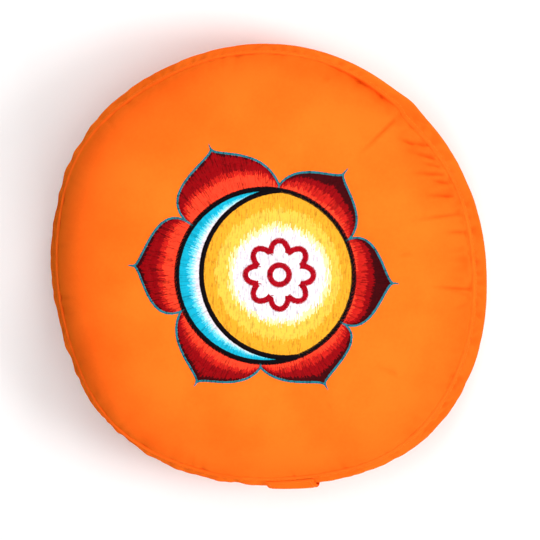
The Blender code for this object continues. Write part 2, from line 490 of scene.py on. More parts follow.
def draw_gathers():
    """Random table of fine gathers: azimuth, half width, reach and depth."""
    columns = (
        rng.uniform(0.0, 360.0, GATHER_COUNT),
        rng.uniform(*GATHER_HALF_WIDTH, GATHER_COUNT),
        rng.uniform(*GATHER_REACH, GATHER_COUNT),
        rng.uniform(*GATHER_DEPTH, GATHER_COUNT),
    )
    return list(zip(*columns))


TOP_GATHERS = draw_gathers()
BAND_TOP_GATHERS = draw_gathers()
BAND_LOW_GATHERS = draw_gathers()


def gather_depth(gathers, azimuth, away):
    """Depth of the fine gathers at a distance away from their seam."""
    depth = np.zeros_like(azimuth)
    for place, half_width, reach, deepest in gathers:
        along = np.clip(1.0 - away / reach, 0.0, 1.0)
        depth += deepest * bump(angle_between(azimuth, place), half_width) * along
    return depth


def crease_depth(x, y):
    """Depth of the top panel's single creases at a point of the panel."""
    depth = np.zeros_like(x)
    for from_x, from_y, to_x, to_y, half_width, deepest in PANEL_CREASES:
        length = math.hypot(to_x - from_x, to_y - from_y)
        ahead = ((to_x - from_x) / length, (to_y - from_y) / length)
        along = ((x - from_x) * ahead[0] + (y - from_y) * ahead[1]) / length
        aside = (y - from_y) * ahead[0] - (x - from_x) * ahead[1]
        fade = np.sin(np.pi * np.clip(along, 0.0, 1.0) ** CREASE_RISE)
        depth += deepest * fade * bump(aside, half_width)
    return depth


def band_radius(azimuth, share):
    """Radius of the side band, share 0 at the bottom seam and 1 at the top seam."""
    low_radius = bottom_seam(azimuth)[0]
    high_radius = top_seam(azimuth)[0]
    straight = low_radius + (high_radius - low_radius) * share
    bulge = WIDEST_RADIUS + outline_swell(azimuth) - straight
    fullness = np.sin(np.pi * np.clip(share, 0.0, 1.0)) ** BAND_FULLNESS
    corner = CORNER_RISE * bump(angle_between(azimuth, STEP_AZIMUTH), CORNER_HALF_WIDTH)
    drawn_in = band_dip(azimuth) * share**BAND_DIP_FADE
    return straight + (bulge + corner - drawn_in) * fullness


def lip_hump(share):
    """Cross-section of a seam lip: a thin ridge by the seam, pressed in at the stitching."""
    arch = np.sin(np.pi * share)
    ridge = bump(share - LIP_RIDGE_PLACE, LIP_RIDGE_HALF_WIDTH) * arch**LIP_RIDGE_SHAPE
    groove = LIP_GROOVE * bump(share - STITCH_LINE, LIP_GROOVE_HALF_WIDTH)
    return ridge + LIP_SWELL * arch**LIP_SWELL_SHAPE - groove


def base_rows(azimuth):
    """Rows of radius and height: the flat base and the shoulder up to the bottom seam."""
    edge = BASE_RADIUS + outline_swell(azimuth)
    seam_radius, seam_height = bottom_seam(azimuth)
    rows = []
    for step in range(1, BASE_ROWS + 1):
        rows.append((edge * step / BASE_ROWS, np.zeros_like(azimuth)))
    for step in range(1, SHOULDER_ROWS + 1):
        turn = 0.5 * math.pi * step / SHOULDER_ROWS
        radius = edge + (seam_radius - CREASE_DEPTH - edge) * math.sin(turn)
        rows.append((radius, seam_height * (1.0 - math.cos(turn))))
    return rows


def band_rows(azimuth):
    """Rows of radius and height: both seam lips and the band between them."""
    low_radius, low_height = bottom_seam(azimuth)
    high_radius, high_height = top_seam(azimuth)
    span = high_height - low_height
    edge_share = (LIP_WIDTH + LIP_EDGE) / span
    low_edge = band_radius(azimuth, edge_share)
    high_edge = band_radius(azimuth, 1.0 - edge_share)
    rows = []
    for step in range(LIP_ROWS):
        share = step / LIP_ROWS
        radius = low_radius + (low_edge - low_radius) * share + LIP_RISE * lip_hump(share)
        rows.append((radius, low_height + (LIP_WIDTH + LIP_EDGE) * share))
    for step in range(BAND_ROWS + 1):
        share = edge_share + (1.0 - 2.0 * edge_share) * step / BAND_ROWS
        rows.append((band_radius(azimuth, share), low_height + span * share))
    for step in range(1, LIP_ROWS + 1):
        share = 1.0 - step / LIP_ROWS
        radius = high_radius + (high_edge - high_radius) * share + LIP_RISE * lip_hump(share)
        rows.append((radius, high_height - (LIP_WIDTH + LIP_EDGE) * share))
    return rows


def crown_rows(azimuth):
    """Rows of radius and height: the top panel from the seam's crease to the middle."""
    seam_radius, seam_height = top_seam(azimuth)
    edge = seam_radius - CREASE_DEPTH
    rows = []
    for step in range(CROWN_ROWS):
        share = math.cos(0.5 * math.pi * step / CROWN_ROWS)
        radius = edge * share + seam_step(azimuth) * (share**STEP_INWARD_FADE - share)
        rise = max(1.0 - share**CROWN_FULLNESS, 0.0) ** CROWN_SHOULDER
        height = seam_height + (HEIGHT - seam_height) * rise
        settle = 0.5 * CREASE_DEPTH * bump(seam_radius - radius, CREASE_REACH)
        rows.append((radius, height - settle))
    return rows


def relief_rows(azimuth, rows, crown_from):
    """Depth of gathers, puckers and creases at every point of every row."""
    seam_radius, seam_height = top_seam(azimuth)
    low_height = bottom_seam(azimuth)[1]
    relief = []
    for index, (radius, height) in enumerate(rows):
        if index >= crown_from:
            inward = seam_radius - radius
            turn = np.radians(azimuth)
            depth = pucker_depth(azimuth, inward) + gather_depth(TOP_GATHERS, azimuth, inward)
            depth += crease_depth(radius * np.cos(turn), radius * np.sin(turn))
        else:
            from_top = np.maximum(seam_height - height - LIP_WIDTH, 0.0)
            from_low = np.maximum(height - low_height - LIP_WIDTH, 0.0)
            on_band = (from_top > 0.0) & (from_low > 0.0)
            depth = gather_depth(BAND_TOP_GATHERS, azimuth, from_top)
            depth += gather_depth(BAND_LOW_GATHERS, azimuth, from_low)
            depth *= on_band
        relief.append(depth)
    return np.array(relief)


def outward_of(grid):
    """Unit directions out of the skin, from each point's neighbours in its row and column."""
    along = np.roll(grid, -1, axis=1) - np.roll(grid, 1, axis=1)
    outward = np.cross(along, np.gradient(grid, axis=0))
    return outward / np.linalg.norm(outward, axis=2, keepdims=True)


def settle_cloth(skin, held_rows):
    """Where the skin's points come to lie as slack cloth that is held at some rows."""
    row_count, columns = skin.shape[:2]
    faces = ring_quads(row_count, columns).tolist()
    cloth = mesh_piece("loose_cloth", skin.reshape(-1, 3), faces)
    held = cloth.vertex_groups.new(name="held")
    for row in held_rows:
        held.add(list(range(row * columns, (row + 1) * columns)), 1.0, "REPLACE")
    modifier = cloth.modifiers.new("Cloth", "CLOTH")
    for name, value in CLOTH.items():
        setattr(modifier.settings, name, value)
    modifier.settings.effector_weights.gravity = 0.0
    modifier.collision_settings.use_collision = False
    modifier.collision_settings.use_self_collision = False
    modifier.point_cache.frame_end = CLOTH_FRAMES
    for frame_number in range(1, CLOTH_FRAMES + 1):
        bpy.context.scene.frame_set(frame_number)
    settled = cloth.evaluated_get(bpy.context.evaluated_depsgraph_get())
    places = np.empty(len(cloth.data.vertices) * 3, np.float32)
    settled.data.vertices.foreach_get("co", places)
    bpy.data.objects.remove(cloth)
    bpy.context.scene.frame_set(1)
    return places.reshape(skin.shape).astype(float)


def wrinkle_shares(azimuth, rows, crown_from):
    """How much of the settled cloth's wrinkles stays at every point of every row."""
    low_height = bottom_seam(azimuth)[1]
    seam_radius, seam_height = top_seam(azimuth)
    puckered = bump(angle_between(azimuth, CROWN_PUCKER_AZIMUTH), CROWN_PUCKER_HALF_WIDTH)
    on_crown = CROWN_SHARE + (CROWN_PUCKER_SHARE - CROWN_SHARE) * puckered
    shares = []
    for index, (radius, height) in enumerate(rows):
        if index >= crown_from:
            shares.append(on_crown * bump(seam_radius - radius, CROWN_WRINKLE_REACH))
        else:
            up = np.clip((height - low_height) / (seam_height - low_height), 0.0, 1.0)
            by_seam = np.cos(np.pi * up) ** 2
            shares.append(BAND_MIDDLE_SHARE + (BAND_SEAM_SHARE - BAND_MIDDLE_SHARE) * by_seam)
    calm = 1.0 - bump(angle_between(azimuth, HANDLE_AZIMUTH), HANDLE_CALM)
    return np.array(shares) * calm


def seam_wrinkles(grid, cloth_rows, held_rows):
    """Height of the cloth's wrinkles in metres: what the settled cloth adds to the smooth form."""
    wrinkles = np.zeros(grid.shape[:2])
    skin = grid[cloth_rows, ::COLUMNS_PER_CLOTH_COLUMN]
    moved = settle_cloth(skin, held_rows) - skin
    lift = np.sum(moved * outward_of(skin), axis=2)
    waves = np.fft.rfft(lift, axis=1)
    waves[:, :SWELL_WAVES] = 0.0
    lift = np.fft.irfft(waves * COLUMNS_PER_CLOTH_COLUMN, COLUMNS, axis=1)
    cap = WRINKLE_CAP * MM
    wrinkles[cloth_rows] = cap * np.tanh(lift / cap)
    return wrinkles


def ring_quads(row_count, columns):
    """Faces between the rows of a grid whose rows close on themselves."""
    first = np.arange(columns)
    second = (first + 1) % columns
    low = columns * np.arange(row_count - 1)[:, None]
    high = low + columns
    return np.stack([low + first, low + second, high + second, high + first], axis=-1).reshape(-1, 4)


def mesh_piece(name, points, faces, corners=None):
    """Smooth mesh object from points in metres; corners holds a UV for each face corner."""
    mesh = bpy.data.meshes.new(name)
    mesh.from_pydata(points.tolist(), [], faces)
    mesh.shade_smooth()
    if corners is not None:
        layer = mesh.uv_layers.new(name="cloth")
        layer.data.foreach_set("uv", np.asarray(corners, np.float32).ravel())
    piece = bpy.data.objects.new(name, mesh)
    bpy.context.scene.collection.objects.link(piece)
    return piece


def new_material(name):
    """New material, its node tree and its Principled shader."""
    material = bpy.data.materials.new(name)
    material.use_nodes = True
    return material, material.node_tree, material.node_tree.nodes["Principled BSDF"]


def plug(tree, node, inputs):
    """Fill a node's input sockets: an output socket is linked, anything else is a value."""
    for socket, value in inputs.items():
        if isinstance(value, bpy.types.NodeSocket):
            tree.links.new(value, node.inputs[socket])
        else:
            node.inputs[socket].default_value = value


def add_node(tree, kind, output, inputs=None, **settings):
    """One output socket of a new shader node with these settings and inputs."""
    node = tree.nodes.new(f"ShaderNode{kind}")
    for name, value in settings.items():
        setattr(node, name, value)
    plug(tree, node, inputs or {})
    return node.outputs[output]


def add_ramp(tree, value, *stops):
    """Colour of a value from a ramp with two stops, each a position and a colour."""
    ramp = tree.nodes.new("ShaderNodeValToRGB")
    for element, (position, colour) in zip(ramp.color_ramp.elements, stops):
        element.position = position
        element.color = (*colour, 1.0)
    plug(tree, ramp, {"Fac": value})
    return ramp.outputs["Color"]


def add_fade(tree, value, from_min, from_max, to_min, to_max):
    """Smooth change from one number to another over a range of the value."""
    fade = {"Value": value, "From Min": from_min, "From Max": from_max, "To Min": to_min, "To Max": to_max}
    return add_node(tree, "MapRange", "Result", fade, interpolation_type="SMOOTHSTEP")


def add_noise(tree, place, scale, detail, roughness=0.5):
    noise = {"Vector": place, "Scale": scale, "Detail": detail, "Roughness": roughness}
    return add_node(tree, "TexNoise", "Fac", noise)


def add_bands(tree, direction, period, distortion, detail):
    """Bands over the cloth's UVs that repeat over a length in metres, as a Wave texture has them."""
    place = add_node(tree, "UVMap", "UV", uv_map="cloth")
    scale = 2.0 * math.pi / (20.0 * period)
    waves = {"Vector": place, "Scale": scale, "Distortion": distortion, "Detail": detail}
    return add_node(tree, "TexWave", "Fac", waves, wave_type="BANDS", bands_direction=direction)


def add_bump(tree, height, strength, distance, below=None):
    """Normal of a bump, over the bump below it if there is one."""
    inputs = {"Height": height, "Strength": strength, "Distance": distance}
    if below:
        inputs["Normal"] = below
    return add_node(tree, "Bump", "Normal", inputs)


def cloth_material(name):
    """Plain-woven cotton: yarns over and under, slubs, soft unevenness, sheen, and painted shade in the
    folds.
    """
    material, tree, shader = new_material(name)
    yarns = [add_bands(tree, direction, YARN_PERIOD, 0.6, 1.0) for direction in ("X", "Y")]
    weave = add_node(tree, "Math", "Value", dict(enumerate(yarns)), operation="MAXIMUM")
    space = add_node(tree, "TexCoord", "Object")
    slubs = add_noise(tree, space, 420.0, 4.0)
    patches = add_noise(tree, space, 22.0, 3.0, 0.45)
    uneven = add_node(tree, "Math", "Value", {0: slubs, 1: 0.35, 2: patches}, operation="MULTIPLY_ADD")
    dyed = add_ramp(tree, uneven, (0.45, ORANGE_DEEP), (0.8, ORANGE))
    fold_shade = add_node(tree, "Attribute", "Fac", attribute_name="fold_shade")
    # Painted shade: the cloth turns towards ORANGE_FOLD_SHADE where the fold_shade attribute marks deep
    # creases
    shades = {"Factor": fold_shade, "A": dyed, "B": (*ORANGE_FOLD_SHADE, 1.0)}
    yarn_bump = add_bump(tree, weave, 0.3, 0.00012)
    finish = {
        "Base Color": add_node(tree, "Mix", "Result", shades, data_type="RGBA"),
        "Normal": add_bump(tree, patches, 0.35, 0.0012, below=yarn_bump),
        "Roughness": 0.86,
        "Specular IOR Level": 0.0,
        "Sheen Weight": 0.3,
        "Sheen Roughness": 0.5,
        "Sheen Tint": (1.0, 0.33, 0.02, 1.0),
    }
    plug(tree, shader, finish)
    return material


def thread_material(name, colour, darkest=USUAL_DARKEST):
    """Twisted filament thread: slanting plies along the stitch, and stitches lighter and darker at random
    as painted gloss and painted shade between threads.
    """
    material, tree, shader = new_material(name)
    plies = add_bands(tree, "DIAGONAL", PLY_PERIOD, 0.8, 2.0)
    uneven = add_noise(tree, add_node(tree, "TexCoord", "Object"), 520.0, 2.0)
    tone = add_node(tree, "Attribute", "Fac", attribute_name="tone")
    blend = add_node(tree, "Math", "Value", {0: tone, 1: 0.6, 2: uneven}, operation="MULTIPLY_ADD")
    # Painted shade and painted gloss: the ramp runs from a darkened to a lightened copy of the thread's
    # colour
    dark = [darkest * part for part in colour]
    bright = [min(1.2 * part, 1.0) for part in colour]
    finish = {
        "Base Color": add_ramp(tree, blend, (0.4, dark), (1.0, bright)),
        "Normal": add_bump(tree, plies, 0.5, 0.0001),
        "Roughness": 0.5,
        "Specular IOR Level": 0.03,
    }
    plug(tree, shader, finish)
    return material


def at(azimuth, radius, height):
    """Points in metres from azimuths in degrees and radii and heights in millimetres."""
    turn = np.radians(azimuth)
    return np.stack([radius * np.cos(turn), radius * np.sin(turn), height], axis=-1) * MM


def make_cover():
    """The sewn cover as one closed skin of rows round the cushion."""
    azimuth = np.linspace(0.0, 360.0, COLUMNS, endpoint=False)
    flat_below = base_rows(azimuth)
    side = band_rows(azimuth)
    crown = crown_rows(azimuth)
    rows = flat_below + side + crown
    row_count = len(rows)
    low_seam = len(flat_below) - 1
    top_crease = len(flat_below) + len(side)
    grid = np.array([at(azimuth, radius, height) for radius, height in rows])
    cloth_rows = slice(low_seam, top_crease + CLOTH_CROWN_ROWS)
    held_rows = [
        *range(LIP_ROWS + 1),
        *range(top_crease - LIP_ROWS - 1 - low_seam, top_crease + HELD_CROWN_ROWS - low_seam),
        top_crease + CLOTH_CROWN_ROWS - 1 - low_seam,
    ]
    wrinkles = seam_wrinkles(grid, cloth_rows, held_rows)
    wrinkles *= wrinkle_shares(azimuth, rows, top_crease)
    relief = relief_rows(azimuth, rows, top_crease)
    grid += outward_of(grid) * (wrinkles - relief * MM)[:, :, None]
    points = grid.reshape(-1, 3)
    base_middle = len(points)
    points = np.vstack([points, [[0.0, 0.0, 0.0], [0.0, 0.0, HEIGHT * MM]]])
    quads = ring_quads(row_count, COLUMNS)
    faces = quads.tolist()
    corners = points[quads][:, :, :2]
    around = np.radians(np.linspace(0.0, 360.0, COLUMNS + 1)) * WIDEST_RADIUS * MM
    across = np.stack([around[:-1], around[1:], around[1:], around[:-1]], axis=1)
    side_faces = slice(low_seam * COLUMNS, top_crease * COLUMNS)
    corners[side_faces, :, 0] = np.tile(across, (top_crease - low_seam, 1))
    corners[side_faces, :, 1] = points[quads[side_faces], 2]
    corners = [corners.reshape(-1, 2)]
    first = np.arange(COLUMNS)
    base_edge = np.stack([(first + 1) % COLUMNS, first], axis=1)
    crown_edge = base_edge[:, ::-1] + (row_count - 1) * COLUMNS
    for middle, edge in ((base_middle, base_edge), (base_middle + 1, crown_edge)):
        fan = np.insert(edge, 0, middle, axis=1)
        faces += fan.tolist()
        corners.append(points[fan][:, :, :2].reshape(-1, 2))
    cover = mesh_piece("cushion_cover", points, faces, np.concatenate(corners))
    # Painted shade in creases, puckers, gathers and wrinkle valleys, darker the deeper they are
    fold_shade = cover.data.attributes.new("fold_shade", "FLOAT", "POINT")
    fold_shade_share = np.clip((relief - wrinkles / MM) / FOLD_SHADE_FULL_DEPTH, 0.0, 1.0)
    fold_shade.data.foreach_set("value", np.append(fold_shade_share.ravel(), (0.0, 0.0)))
    cover.data.materials.append(cloth_material("orange_cotton"))
    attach(cover, "root")
    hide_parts("cushion")
    return cover


def threads(name, lines, sideways, upward, width, rise, material):
    """Joined stitches; lines holds the points of each stitch at STITCH_STATIONS."""
    along, heights, widths = np.array(STITCH_STATIONS).T
    count, steps = lines.shape[:2]
    upward = upward[:, None, :]
    aside = sideways[:, None, :] * (0.5 * width * MM * widths)[:, None]
    sunk = lines - upward * THREAD_SINK * MM
    ridge = lines + upward * (rise * MM * heights)[:, None]
    points = np.stack([sunk - aside, ridge, sunk + aside], axis=2).reshape(-1, 3)
    lengths = np.linalg.norm(lines[:, -1] - lines[:, 0], axis=1)
    offsets = rng.uniform(0.0, PLY_SHIFT, count)
    reach = (along * lengths[:, None] + offsets[:, None])[:, :, None]
    lanes = 0.5 * width * MM * np.arange(3)
    places = np.stack(np.broadcast_arrays(reach, lanes), axis=-1).reshape(-1, 2)
    firsts = [3 * step + lane for step in range(steps - 1) for lane in (0, 1)]
    lows = np.concatenate([3 * steps * np.arange(count) + first for first in firsts])
    faces = lows[:, None] + np.array((0, 1, 4, 3))
    piece = mesh_piece(name, points, faces.tolist(), places[faces].reshape(-1, 2))
    # Each stitch's tone, drawn at random: painted gloss on the lighter stitches, painted shade between
    # threads on the darker
    tones = 1.0 - rng.uniform(0.0, 1.0, count) ** TONE_SKEW
    tone = piece.data.attributes.new("tone", "FLOAT", "POINT")
    tone.data.foreach_set("value", np.repeat(tones, steps * 3))
    piece.data.materials.append(material)
    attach(piece, "root")
    return piece


def sew(name, lines, sideways, upward):
    """Stitches in the cover's own sewing thread."""
    material = thread_material(f"{name}_cotton", ORANGE_THREAD)
    threads(name, lines, sideways, upward, SEWING_WIDTH, SEWING_RISE, material)


def make_seam_stitching(name, top):
    """Topstitching pressed into a seam lip, all round."""
    count = round(360.0 / math.degrees(SEAM_STITCH_PITCH / WIDEST_RADIUS))
    middle = np.linspace(0.0, 360.0, count, endpoint=False)
    along = np.array(STITCH_STATIONS)[:, 0]
    azimuth = middle[:, None] + (along - 0.5) * SEAM_STITCH_SHARE * 360.0 / count
    seam_radius, seam_height = top_seam(azimuth) if top else bottom_seam(azimuth)
    lip_height = LIP_WIDTH + LIP_EDGE
    edge_share = lip_height / (top_seam(azimuth)[1] - bottom_seam(azimuth)[1])
    edge = band_radius(azimuth, 1.0 - edge_share if top else edge_share)
    radius = seam_radius + (edge - seam_radius) * STITCH_LINE
    radius += LIP_RISE * lip_hump(STITCH_LINE) + SEAM_STITCH_LIFT
    height = seam_height + (-lip_height if top else lip_height) * STITCH_LINE
    turn = np.radians(middle)
    upward = np.stack([np.cos(turn), np.sin(turn), np.zeros(count)], axis=1)
    sideways = np.tile([0.0, 0.0, 1.0], (count, 1))
    sew(name, at(azimuth, radius, height), sideways, upward)


def handle_point(along, across, outward):
    """Point of the strap, which bows away from the band halfway up.

    along runs upward and across sideways from 0 to 1, outward from its inner face.
    """
    half_turn = math.degrees(0.5 * HANDLE_WIDTH / WIDEST_RADIUS)
    azimuth = HANDLE_AZIMUTH + half_turn * (2.0 * across - 1.0)
    low_height = bottom_seam(azimuth)[1]
    span = top_seam(azimuth)[1] - low_height
    clear = LIP_WIDTH + LIP_EDGE + HANDLE_GAP
    share = (clear + (span - 2.0 * clear) * along) / span
    bow = 1.0 - HANDLE_EDGE_TILT + HANDLE_EDGE_TILT * across
    gap = HANDLE_GAP + HANDLE_BOW * bow * np.sin(np.pi * along) ** HANDLE_BOW_SHAPE
    radius = band_radius(azimuth, share) + gap + outward
    return at(azimuth, radius, low_height + span * share)


def handle_section():
    """Cross-section of the strap from edge to edge and back: places across and heights."""
    section = []
    for step in range(HANDLE_FACE_STEPS + 1):
        across = step / HANDLE_FACE_STEPS
        from_edge = min(across, 1.0 - across) * HANDLE_WIDTH
        rolled = 1.0 - math.exp(-from_edge / HANDLE_EDGE_ROLL)
        groove = HANDLE_GROOVE * bump(from_edge - HANDLE_SEW_INSET, HANDLE_GROOVE_HALF_WIDTH)
        full = HANDLE_THICKNESS * (HANDLE_EDGE_SHARE + (1.0 - HANDLE_EDGE_SHARE) * rolled)
        section.append((across, full - groove))
    section += [(1.0 - step / HANDLE_BACK_STEPS, 0.0) for step in range(HANDLE_BACK_STEPS + 1)]
    return np.array(section).T


def make_handle():
    """Folded strap with rolled edges and pressed-in stitch lines."""
    across, outward = handle_section()
    along = np.linspace(0.0, 1.0, HANDLE_ROWS + 1)[:, None]
    waves = HANDLE_RIPPLE_ALONG * along + HANDLE_RIPPLE_ACROSS * across
    ripple = HANDLE_RIPPLE * np.sin(waves) * (outward > 0.0)
    points = handle_point(along, across[None, :], outward[None, :] + ripple).reshape(-1, 3)
    count = len(across)
    last = HANDLE_ROWS * count
    ends = [list(range(count - 1, -1, -1)), list(range(last, last + count))]
    faces = ring_quads(HANDLE_ROWS + 1, count).tolist() + ends
    row, column = np.divmod(np.arange(last), count)
    steps = ((0, 0), (1, 0), (1, 1), (0, 1))
    corners = [np.stack([column + aside, row + up], axis=-1) * MM for aside, up in steps]
    corners = np.stack(corners, axis=1).reshape(-1, 2)
    corners = np.vstack([corners, np.zeros((2 * count, 2))])
    handle = mesh_piece("handle_strap", points, faces, corners)
    handle.data.set_sharp_from_angle(angle=math.radians(HANDLE_SHARP_DEG))
    handle.data.materials.append(cloth_material("strap_cotton"))
    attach(handle, "root")
    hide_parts("carry_handle")


def make_handle_stitching():
    """Edge stitching of the strap, a row along each side."""
    along = np.array(STITCH_STATIONS)[:, 0] * (1.0 - 2.0 * HANDLE_STITCH_GAP) + HANDLE_STITCH_GAP
    along = np.tile(np.arange(HANDLE_STITCHES), 2)[:, None] + along
    inset = HANDLE_SEW_INSET / HANDLE_WIDTH
    across = np.repeat([inset, 1.0 - inset], HANDLE_STITCHES)[:, None] + np.zeros_like(along)
    lines = handle_point(along / HANDLE_STITCHES, across, HANDLE_THICKNESS - HANDLE_STITCH_SINK)
    turn = math.radians(HANDLE_AZIMUTH)
    upward = np.tile([math.cos(turn), math.sin(turn), 0.0], (len(lines), 1))
    sideways = np.tile([-math.sin(turn), math.cos(turn), 0.0], (len(lines), 1))
    sew("handle_stitching", lines, sideways, upward)


class Surface:
    """Height of the top panel, read from the finished cover by rays from above."""

    def __init__(self, cover):
        self.low = -SURFACE_HALF_SIZE
        self.count = round(2 * SURFACE_HALF_SIZE / SURFACE_STEP) + 1
        tree = BVHTree.FromObject(cover, bpy.context.evaluated_depsgraph_get())
        self.heights = np.zeros((self.count, self.count))
        down = Vector((0.0, 0.0, -1.0))
        for row in range(self.count):
            for column in range(self.count):
                x = (self.low + column * SURFACE_STEP) * MM
                y = (self.low + row * SURFACE_STEP) * MM
                hit = tree.ray_cast(Vector((x, y, 1.0)), down)[0]
                self.heights[row, column] = hit.z / MM if hit else TOP_SEAM_HEIGHT

    def height(self, x, y):
        """Height in millimetres over points given in millimetres."""
        column = np.clip((x - self.low) / SURFACE_STEP, 0.0, self.count - 1.001)
        row = np.clip((y - self.low) / SURFACE_STEP, 0.0, self.count - 1.001)
        left = column.astype(int)
        front = row.astype(int)
        across = column - left
        along = row - front
        near = self.heights[front, left] * (1.0 - across) + self.heights[front, left + 1] * across
        far = self.heights[front + 1, left] * (1.0 - across)
        far += self.heights[front + 1, left + 1] * across
        return near * (1.0 - along) + far * along


def embroider(surface, name, colour, stitches, lift=FILL_LIFT, width=THREAD_WIDTH, rise=THREAD_RISE):
    """Stitches, each a start and an end in millimetres from the emblem's middle."""
    along = np.array(STITCH_STATIONS)[:, 0]
    starts, ends = np.asarray(stitches, float).swapaxes(0, 1)
    places = starts[:, None, :] + (ends - starts)[:, None, :] * along[:, None]
    x = places[:, :, 0] + EMBLEM_X
    y = places[:, :, 1] + EMBLEM_Y
    height = surface.height(x, y) + lift
    lines = np.stack([x, y, height], axis=-1) * MM
    ahead = ends - starts
    ahead /= np.linalg.norm(ahead, axis=1)[:, None]
    sideways = np.stack([ahead[:, 1], -ahead[:, 0], np.zeros(len(ahead))], axis=1)
    upward = np.tile([0.0, 0.0, 1.0], (len(ahead), 1))
    darkest = DARKEST_STITCH.get(colour, USUAL_DARKEST)
    material = thread_material(f"thread_{colour}_{name}", THREADS[colour], darkest)
    piece_name = f"embroidery_{name}"
    threads(piece_name, lines, sideways, upward, width, rise, material)


def polar(angle, radius):
    """Point from an angle in degrees and a radius."""
    turn = np.radians(angle)
    return np.stack([radius * np.cos(turn), radius * np.sin(turn)], axis=-1)


def petal_side(petal, side):
    """One half outline of a petal, from its tip to the ring: angles off its middle and radii."""
    root = math.radians(abs(petal.roots[side] - petal.azimuth))
    curve = (
        (petal.tip, 0.0),
        (TIP_GUIDE_ALONG * petal.tip, TIP_GUIDE_ASIDE * petal.shoulders[side]),
        (SHOULDER_ALONG * petal.tip, petal.shoulders[side]),
        (ROOT_RADIUS * math.cos(root), ROOT_RADIUS * math.sin(root)),
    )
    share = np.linspace(0.0, 1.0, 60)[:, None]
    weights = ((1 - share) ** 3, 3 * share * (1 - share) ** 2, 3 * share**2 * (1 - share), share**3)
    along, aside = sum(weight * np.array(point) for weight, point in zip(weights, curve)).T
    return np.degrees(np.arctan2(aside, along)), np.hypot(along, aside)


def petal_reach(petal, angle):
    """Radius of the petal's outline at an angle in degrees from the petal's middle."""
    angles, radii = petal_side(petal, int(angle > 0.0))
    return float(np.interp(abs(angle), angles, radii))


def split_run(angle, inner, outer):
    """One radial run cut into overlapping stitches no longer than the longest."""
    length = outer - inner
    count = max(1, math.ceil(length / LONGEST_STITCH))
    cuts = inner + length * np.arange(count + 1) / count
    cuts[1:-1] += rng.uniform(-CUT_JITTER, CUT_JITTER, count - 1) * length / count
    stitches = []
    for low, high in zip(cuts[:-1], cuts[1:]):
        stitches.append((polar(angle, low - STITCH_OVERLAP), polar(angle, high + STITCH_OVERLAP)))
    return stitches


def make_petals(surface):
    """Long-and-short fill of the six petals in four reds, darker towards each tip; the mid red and the
    maroon are painted shade, most of it on the right-hand petals.
    """
    runs = {colour: [] for colour in PETAL_LIFTS}
    step = math.degrees(STITCH_PITCH / PETAL_PITCH_RADIUS)
    for petal in PETALS:
        for here in np.arange(petal.roots[0] + ROOT_GAP_DEG, petal.roots[1] - ROOT_GAP_DEG, step):
            angle = here - petal.azimuth
            half_angle = abs(petal.roots[int(angle > 0.0)] - petal.azimuth)
            outer = petal_reach(petal, angle) - PETAL_FILL_INSET
            depth = outer - RING_RADIUS
            if depth < SHORTEST_PETAL_RUN:
                continue
            towards_tip = max(0.0, 1.0 - abs(angle) / half_angle)
            share = petal.dark_share * (DARK_BY_ROOT + (1.0 - DARK_BY_ROOT) * towards_tip)
            dark = outer - depth * share + TOOTH * rng.uniform(-1.0, 1.0)
            if rng.uniform() < STREAK_SHARE:
                dark -= rng.uniform(*STREAK_LENGTH)
            # Maroon by the tip: painted shade, more of it on the right-hand petals
            share = petal.maroon_share * (MAROON_BY_ROOT + (1.0 - MAROON_BY_ROOT) * towards_tip)
            deep = outer - depth * share + TOOTH * rng.uniform(-1.0, 1.0)
            # Mid red inside the dark red: painted shade, deeper where there is more maroon
            mid = dark - depth * (MID_SHARE + MID_PER_MAROON * petal.maroon_share)
            mid += TOOTH * rng.uniform(-1.0, 1.0)
            dark = min(max(dark, RING_RADIUS + LEAST_BRIGHT), outer - LEAST_DARK)
            mid = min(max(mid, RING_RADIUS + SHORTEST_FILL), dark - SHORTEST_FILL)
            deep = min(max(deep, dark), outer)
            runs["bright_red"] += split_run(here, RING_RADIUS, mid)
            runs["mid_red"] += split_run(here, mid, dark)
            runs["dark_red"] += split_run(here, dark, max(deep, dark + SHORTEST_FILL))
            if outer - deep > LEAST_MAROON:
                runs["maroon"] += split_run(here, deep, outer)
    for colour, stitches in runs.items():
        lift = FILL_LIFT + PETAL_LIFTS[colour]
        embroider(surface, f"petals_{colour}", colour, stitches, lift=lift)


def satin_line(
    surface, name, colour, path, width,
    closed=False, pitch=0.6, lift=CORD_LIFT, rise=0.5, rough=0.18, taper=0.0,
):
    """Satin-stitched line: stitches side by side across a path, shorter over its last taper."""
    path = np.asarray(path, float)
    if closed:
        path = np.vstack([path, path[:1]])
    lengths = np.concatenate([[0.0], np.cumsum(np.linalg.norm(np.diff(path, axis=0), axis=1))])
    count = max(2, round(lengths[-1] / pitch))
    places = (np.arange(count) + 0.5) * lengths[-1] / count
    centres, before, after = (
        np.stack([np.interp(places + shift, lengths, path[:, axis]) for axis in (0, 1)], axis=1)
        for shift in (0.0, -SATIN_LOOK, SATIN_LOOK)
    )
    ahead = after - before
    ahead /= np.linalg.norm(ahead, axis=1)[:, None]
    across = np.stack([-ahead[:, 1], ahead[:, 0]], axis=1) + SATIN_SLANT * ahead
    half = np.full(count, 0.5 * width)
    if taper:
        half *= np.interp(lengths[-1] - places, (0.0, taper + pitch), (SATIN_END, 1.0))
    starts = centres - across * (half + rng.uniform(-rough, rough, count))[:, None]
    ends = centres + across * (half + rng.uniform(-rough, rough, count))[:, None]
    stitches = np.stack([starts, ends], axis=1)
    embroider(surface, name, colour, stitches, lift=lift, width=pitch * SATIN_OVERLAP, rise=rise)


def circle(x, y, radius):
    """Points a degree apart on a circle, the first again as the last."""
    return polar(np.linspace(0.0, 360.0, 361), radius) + np.array([x, y])


